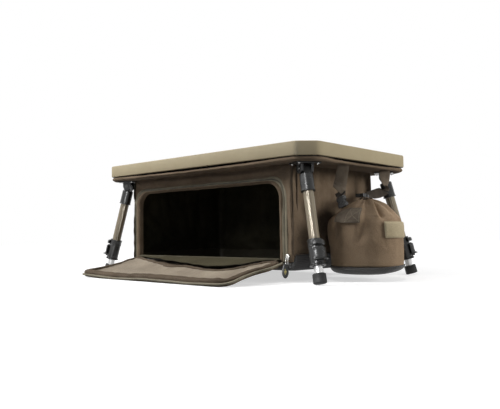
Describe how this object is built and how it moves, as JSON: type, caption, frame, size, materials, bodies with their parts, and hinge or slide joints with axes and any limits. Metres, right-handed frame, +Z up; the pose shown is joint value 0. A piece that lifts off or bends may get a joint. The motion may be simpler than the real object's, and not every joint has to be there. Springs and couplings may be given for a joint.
{
  "type": "bivvy table",
  "caption": "Low folding camp table with a rimmed rectangular top, splayed telescopic legs with lever locks, a zipped storage bag slung beneath and a round side pouch.",
  "frame": {"origin": "centre of the table top's upper face", "axes": "+Z up out of the table top; +X along the long side, towards the pouch; -Y towards the bag's open door"},
  "size_m": [0.6968, 0.4667, 0.2462],
  "materials": {
    "olive_top": "satin olive-tan, lightly textured moulded top",
    "black_plastic": "black moulded nylon, semi-gloss",
    "puller": "black moulded soft plastic",
    "tan_tube": "tan anodised",
    "bare_tube": "bare satin aluminium",
    "rubber_foot": "black textured rubber",
    "steel": "plated",
    "brown_fabric": "brown woven polyester, coated inside",
    "binding": "brown rolled binding",
    "webbing": "brown woven webbing",
    "coated_base": "black waterproof coated fabric",
    "zip_tape": "grey-green coil zip",
    "lining": "beige lining",
    "patch": "tan patch, left blank"
  },
  "bodies": {
    "table": {"table_top": "olive_top", "under_board": "black_plastic", "bag_panel": "brown_fabric", "bag_side_left": "brown_fabric", "bag_side_right": "brown_fabric", "bag_back": "brown_fabric", "bag_front": "brown_fabric", "zip_tape": "zip_tape", "bracket_front_right": "black_plastic", "pivot_pin_front_right": "steel", "bracket_back_right": "black_plastic", "pivot_pin_back_right": "steel", "bracket_back_left": "black_plastic", "pivot_pin_back_left": "steel", "bracket_front_left": "black_plastic", "pivot_pin_front_left": "steel"},
    "bag_base": {"bag_tray": "coated_base", "base_stiffener": "black_plastic", "door_hinge_strip": "brown_fabric"},
    "door": {"door_panel": "brown_fabric", "door_zip_tape": "zip_tape", "door_binding": "binding", "door_lining": "lining"},
    "zip_slider": {"zip_slider": "steel"},
    "zip_puller": {"puller_link": "steel", "zip_puller": "puller"},
    "pouch": {"pouch_body": "brown_fabric", "pouch_cup": "coated_base", "pouch_patch": "patch", "pouch_tab_front": "webbing", "pouch_tab_back": "webbing", "strap_front": "webbing", "strap_back": "webbing", "strap_buckle_front": "black_plastic", "strap_buckle_back": "black_plastic"},
    "leg_front_right": {"leg_collar_front_right": "black_plastic", "leg_tube_front_right": "tan_tube", "leg_lock_front_right": "black_plastic"},
    "foot_front_right": {"inner_tube_front_right": "bare_tube", "foot_front_right": "rubber_foot"},
    "lever_front_right": {"lock_lever_front_right": "black_plastic"},
    "leg_back_right": {"leg_collar_back_right": "black_plastic", "leg_tube_back_right": "tan_tube", "leg_lock_back_right": "black_plastic"},
    "foot_back_right": {"inner_tube_back_right": "bare_tube", "foot_back_right": "rubber_foot"},
    "lever_back_right": {"lock_lever_back_right": "black_plastic"},
    "leg_back_left": {"leg_collar_back_left": "black_plastic", "leg_tube_back_left": "tan_tube", "leg_lock_back_left": "black_plastic"},
    "foot_back_left": {"inner_tube_back_left": "bare_tube", "foot_back_left": "rubber_foot"},
    "lever_back_left": {"lock_lever_back_left": "black_plastic"},
    "leg_front_left": {"leg_collar_front_left": "black_plastic", "leg_tube_front_left": "tan_tube", "leg_lock_front_left": "black_plastic"},
    "foot_front_left": {"inner_tube_front_left": "bare_tube", "foot_front_left": "rubber_foot"},
    "lever_front_left": {"lock_lever_front_left": "black_plastic"}
  },
  "joints": [
    {"name": "bag_deploy", "type": "slide", "parent": "table", "child": "bag_base", "axis": [0, 0, -1], "range_m": [-0.16, 0], "deforming": ["bag_side_left", "bag_side_right", "bag_back", "bag_front", "zip_tape", "bag_tray"]},
    {"name": "leg_fold_front_right", "type": "hinge", "parent": "table", "child": "leg_front_right", "pos_m": [0.25974, -0.135, -0.0447], "axis": [0.4591, 0.8884, 0], "range_deg": [0, 85]},
    {"name": "foot_extend_front_right", "type": "slide", "parent": "leg_front_right", "child": "foot_front_right", "axis": [0.2262, -0.1169, -0.967], "range_m": [0, 0.08]},
    {"name": "lever_front_right", "type": "hinge", "parent": "leg_front_right", "child": "lever_front_right", "pos_m": [0.30536, -0.15858, -0.18164], "axis": [-0.4591, -0.8884, 0], "range_deg": [0, 100]},
    {"name": "leg_fold_back_right", "type": "hinge", "parent": "table", "child": "leg_back_right", "pos_m": [0.25974, 0.135, -0.0447], "axis": [-0.4591, 0.8884, 0], "range_deg": [0, 85]},
    {"name": "foot_extend_back_right", "type": "slide", "parent": "leg_back_right", "child": "foot_back_right", "axis": [0.2262, 0.1169, -0.967], "range_m": [0, 0.08]},
    {"name": "lever_back_right", "type": "hinge", "parent": "leg_back_right", "child": "lever_back_right", "pos_m": [0.30536, 0.15858, -0.18164], "axis": [0.4591, -0.8884, 0], "range_deg": [0, 100]},
    {"name": "leg_fold_back_left", "type": "hinge", "parent": "table", "child": "leg_back_left", "pos_m": [-0.25974, 0.135, -0.0447], "axis": [-0.4591, -0.8884, 0], "range_deg": [0, 85]},
    {"name": "foot_extend_back_left", "type": "slide", "parent": "leg_back_left", "child": "foot_back_left", "axis": [-0.2262, 0.1169, -0.967], "range_m": [0, 0.08]},
    {"name": "lever_back_left", "type": "hinge", "parent": "leg_back_left", "child": "lever_back_left", "pos_m": [-0.30536, 0.15858, -0.18164], "axis": [0.4591, 0.8884, 0], "range_deg": [0, 100]},
    {"name": "leg_fold_front_left", "type": "hinge", "parent": "table", "child": "leg_front_left", "pos_m": [-0.25974, -0.135, -0.0447], "axis": [0.4591, -0.8884, 0], "range_deg": [0, 85]},
    {"name": "foot_extend_front_left", "type": "slide", "parent": "leg_front_left", "child": "foot_front_left", "axis": [-0.2262, -0.1169, -0.967], "range_m": [0, 0.08]},
    {"name": "lever_front_left", "type": "hinge", "parent": "leg_front_left", "child": "lever_front_left", "pos_m": [-0.30536, -0.15858, -0.18164], "axis": [-0.4591, 0.8884, 0], "range_deg": [0, 100]},
    {"name": "door_hinge", "type": "hinge", "parent": "bag_base", "child": "door", "pos_m": [0, -0.144, -0.2103], "axis": [-1, 0, 0], "range_deg": [0, 102.44]},
    {"name": "zip_slide", "type": "slide", "parent": "bag_base", "child": "zip_slider", "axis": [0, 0, 1], "range_m": [0, 0.1]},
    {"name": "puller_swing", "type": "hinge", "parent": "zip_slider", "child": "zip_puller", "pos_m": [0.223, -0.1449, -0.2023], "axis": [-1, 0, 0], "range_deg": [0, 80]},
    {"name": "pouch_swing", "type": "hinge", "parent": "table", "child": "pouch", "pos_m": [0.285, 0, -0.0351], "axis": [0, -1, 0], "range_deg": [0, 35]}
  ],
  "couplings": [
    {"joint": "leg_fold_front_right", "follows": "bag_deploy", "rad_per_m": -9.2448},
    {"joint": "leg_fold_back_right", "follows": "bag_deploy", "rad_per_m": -9.2448},
    {"joint": "leg_fold_back_left", "follows": "bag_deploy", "rad_per_m": -9.2448},
    {"joint": "leg_fold_front_left", "follows": "bag_deploy", "rad_per_m": -9.2448}
  ]
}
